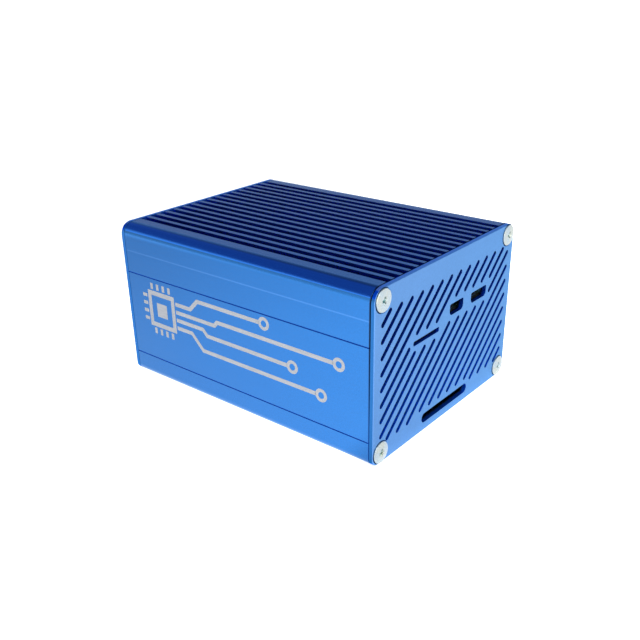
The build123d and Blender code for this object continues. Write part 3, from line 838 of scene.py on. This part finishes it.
def port_details():
    """Two small ports: black tongues with gold contacts, black backs, and black linings of painted
    shade.
    """
    ports = (("micro_hdmi_socket", 7.5, 9), ("micro_usb_socket", 5.6, 5))  # depth, contacts
    back_wall, back_skin, back_margin = 1.0, 0.15, 0.4
    share, lift, half_thick, edge, tongue_short = 0.62, 0.25, 0.34, 0.05, 0.75
    outer, inner, shade_lining_short = 0.27, 0.36, 0.6  # the lining's faces, in from the shell's
    upper, lower = 0.6, 1.1  # the lining stays clear of the shell's slanted corners
    contact_start, contact_short, contact_share, contact_half_thick = 0.2, 3.2, 0.3, 0.38
    tongues, contacts = [], []
    for name, depth, count in ports:
        centre, low, high = placed(name)
        back, mouth, level = high.x - depth + back_wall, high.x, centre.z + lift
        half = (high.y - low.y) * share / 2
        near, far = back + back_skin, mouth - shade_lining_short
        spans = [  # where it ends along X, then its low and high corners in Y and Z
            (
                mouth - tongue_short,
                (centre.y - half - edge, level - half_thick),
                (centre.y + half + edge, level + half_thick),
            ),
            (
                near,
                (low.y + back_margin, low.z + back_margin),
                (high.y - back_margin, high.z - back_margin),
            ),
            # painted shade: black linings inside each shell, in from its walls
            (far, (low.y + outer, low.z + lower), (low.y + inner, high.z - upper)),
            (far, (high.y - inner, low.z + lower), (high.y - outer, high.z - upper)),
            (far, (low.y + upper, high.z - inner), (high.y - upper, high.z - outer)),
            (far, (low.y + lower, low.z + outer), (high.y - lower, low.z + inner)),
        ]
        tongues += [((back, *start), (end, *stop)) for end, start, stop in spans]
        pitch = 2 * half / count
        for step in range(count):
            y = centre.y + (step - (count - 1) / 2) * pitch
            reach = pitch * contact_share
            start = (back + contact_start, y - reach, level - contact_half_thick)
            stop = (mouth - contact_short, y + reach, level + contact_half_thick)
            contacts.append((start, stop))
    blocks("port_tongues", tongues, "black_connector", edge=0.06)
    blocks("port_contacts", contacts, "gold_contact", edge=0.02)


def card_contacts():
    """Eight gold contacts under the memory card."""
    centre, low = placed("memory_card")[:2]
    count, length, width, pitch = 8, 2.8, 0.78, 1.1
    from_rear, first, proud, thickness = 2.1, -3.85, 0.015, 0.02
    pads = [
        block((low.x + from_rear, centre.y + first + pitch * step), length, width)
        for step in range(count)
    ]
    under = Matrix.Translation((0, 0, (low.z - proud) * MM))
    flat_piece("card_contacts", pads, thickness, under, "gold_contact", body="card")


def card_label():
    """A plain label on the memory card."""
    centre, low = placed("memory_card")[:2]
    from_rear, shift, length, width, card_thickness, thickness = 9.2, -0.1, 7.6, 8.4, 0.7, 0.012
    shape = block((low.x + from_rear, centre.y + shift), length, width)
    over = Matrix.Translation((0, 0, (low.z + card_thickness) * MM))
    ink = moulded(
        "card_label_ink", LABEL_GREY, roughness=0.4, grain_scale=2600.0, grain_height=0.003 * MM
    )
    flat_piece("card_label", [shape], thickness, over, "card_plastic", ink, "card")


def expansion_contacts():
    """Two rows of contacts in each board to board connector."""
    centre, low = placed("expansion_connectors")[:2]
    connector_y, row_y, count, pitch = 19.0, 1.12, 15, 1.08
    half_length, half_width, foot, head = 0.2, 0.1, 0.3, 3.6
    strips = []
    for side in (-1, 1):
        for row in (-1, 1):
            y = side * connector_y + row * row_y
            for step in range(count):
                x = centre.x + (step - (count - 1) / 2) * pitch
                start = (x - half_length, y - half_width, low.z + foot)
                stop = (x + half_length, y + half_width, low.z + head)
                strips.append((start, stop))
    blocks("expansion_contacts", strips, "gold_contact", edge=0.04)


side_mark()
small_parts()
board_print()
mounting_pads()
chip_leads()
socket_liner()
socket_lamps()
power_contact()
power_rim()
port_details()
card_contacts()
card_label()
expansion_contacts()


# ---------------------------------------------------------------- floor, light and camera
def pale_floor():
    """A plain pale light table, far larger than the view, brightest near the front plate."""
    mesh = bpy.data.meshes.new("floor")
    built = bmesh.new()
    bmesh.ops.create_grid(built, x_segments=8, y_segments=8, size=FLOOR_SIZE)
    built.to_mesh(mesh)
    built.free()
    floor = bpy.data.objects.new("floor", mesh)
    floor.location.z = case_low.z - FLOOR_DROP
    bpy.context.scene.collection.objects.link(floor)
    finish = Finish(
        "floor_paint", roughness=0.6, Specular_IOR_Level=0.0, Emission_Color=(1.0, 1.0, 1.0, 1.0)
    )
    finish.colour(finish.mix(finish.noise(9.0), FLOOR_DARK, FLOOR_PALE))
    along, across = finish.axis("X"), finish.axis("Y")
    lost = FLOOR_PEAK_GLOW - FLOOR_RIGHT_GLOW
    rising = finish.remap(along, FLOOR_LEFT, FLOOR_PEAK, FLOOR_GLOW, FLOOR_PEAK_GLOW)
    fading = finish.rise(along, FLOOR_PEAK, FLOOR_RIGHT, lost)
    distant = finish.rise(across, FLOOR_NEAR_Y, FLOOR_FAR_Y, FLOOR_FAR_GLOW)
    # painted shadow: the glow drops in a band close to the case
    painted_shadow = finish.band(across, FLOOR_SHADOW_Y, FLOOR_SHADOW_REACH)
    glow = finish.math("ADD", finish.math("SUBTRACT", rising, fading), distant)
    glow = finish.math("SUBTRACT", glow, finish.product(painted_shadow, FLOOR_SHADOW_LOSS))
    finish.feed(finish.shader, "Emission Strength", glow)
    mesh.materials.append(finish.material)


def studio_sky():
    """A dim room: a white wall on the marked side, pale horizon and darker ceiling elsewhere."""
    world = bpy.data.worlds.new("studio")
    bpy.context.scene.world = world
    world.use_nodes = True
    sky = Nodes(world.node_tree)
    direction = sky.node("ShaderNodeTexCoord").outputs["Generated"]
    along, across, up = (sky.split(direction, name) for name in "XYZ")
    wall = sky.product(
        sky.remap(along, *WALL_ALONG_X), sky.remap(up, *WALL_LOW_Z), sky.remap(up, *WALL_HIGH_Z)
    )
    wall_side = sky.mix(sky.rise(up, *WALL_TOP_Z), wall, CEILING)
    light = sky.mix(sky.rise(across, *WALL_TO_FAR_Y), wall_side, sky.ramp(up, FAR_SIDE))
    overhead = sky.product(sky.rise(up, *OVERHEAD_Z), sky.rise(along, *OVERHEAD_X))
    light = sky.mix(overhead, light, OVERHEAD)
    sky.feed(world.node_tree.nodes["Background"], "Color", light)


def lamp(data, backwards):
    """Adds a light to the scene that shines away from the direction backwards."""
    light = bpy.data.objects.new(data.name, data)
    light.rotation_mode = "QUATERNION"
    light.rotation_quaternion = (-backwards).to_track_quat("-Z", "Y")
    bpy.context.scene.collection.objects.link(light)
    return light


def softbox():
    """A square soft light, high up beyond the front plate and towards the marked side."""
    data = bpy.data.lights.new("right_softbox", "AREA")
    data.shape = "RECTANGLE"
    data.size, data.size_y = SOFTBOX_SIZE, SOFTBOX_SIZE
    data.energy = SOFTBOX_POWER
    light = lamp(data, Vector(SOFTBOX_PLACE) - Vector(SOFTBOX_AIM))
    light.location = SOFTBOX_PLACE


def key_sun():
    """A very wide, soft light from above."""
    data = bpy.data.lights.new("key_sun", "SUN")
    data.energy = SUN_STRENGTH
    data.angle = math.radians(SUN_ANGLE)
    lamp(data, Vector(SUN_TOWARDS))


def camera():
    """The viewpoint: above the near corner of the marked side and the front plate."""
    azimuth, elevation, roll = (math.radians(a) for a in (40.262, 25.0174, -1.2861))
    distance, focus = 0.26116, Vector((-0.002854, 0.0, 0.0094226))
    focal_pixels, frame_pixels = 800.4468, 640.0
    centre_u, centre_v = 310.0, 341.0  # where the lens axis meets the frame
    back = Vector(
        (
            math.sin(azimuth) * math.cos(elevation),
            -math.cos(azimuth) * math.cos(elevation),
            math.sin(elevation),
        )
    )
    level = Vector((math.cos(azimuth), math.sin(azimuth), 0.0))
    upright = back.cross(level)
    right = level * math.cos(roll) + upright * math.sin(roll)
    up = upright * math.cos(roll) - level * math.sin(roll)
    data = bpy.data.cameras.new("camera")
    data.sensor_width = 36.0
    data.lens = focal_pixels / frame_pixels * data.sensor_width
    data.shift_x = 0.5 - centre_u / frame_pixels
    data.shift_y = centre_v / frame_pixels - 0.5
    data.clip_start, data.clip_end = 0.01, 40.0
    made = bpy.data.objects.new("camera", data)
    turn = Matrix((right, up, back)).transposed().to_4x4()
    made.matrix_world = Matrix.Translation(focus + back * distance) @ turn
    bpy.context.scene.collection.objects.link(made)
    bpy.context.scene.camera = made


pale_floor()
studio_sky()
key_sun()
softbox()
camera()
bpy.context.scene.view_settings.view_transform = "Standard"
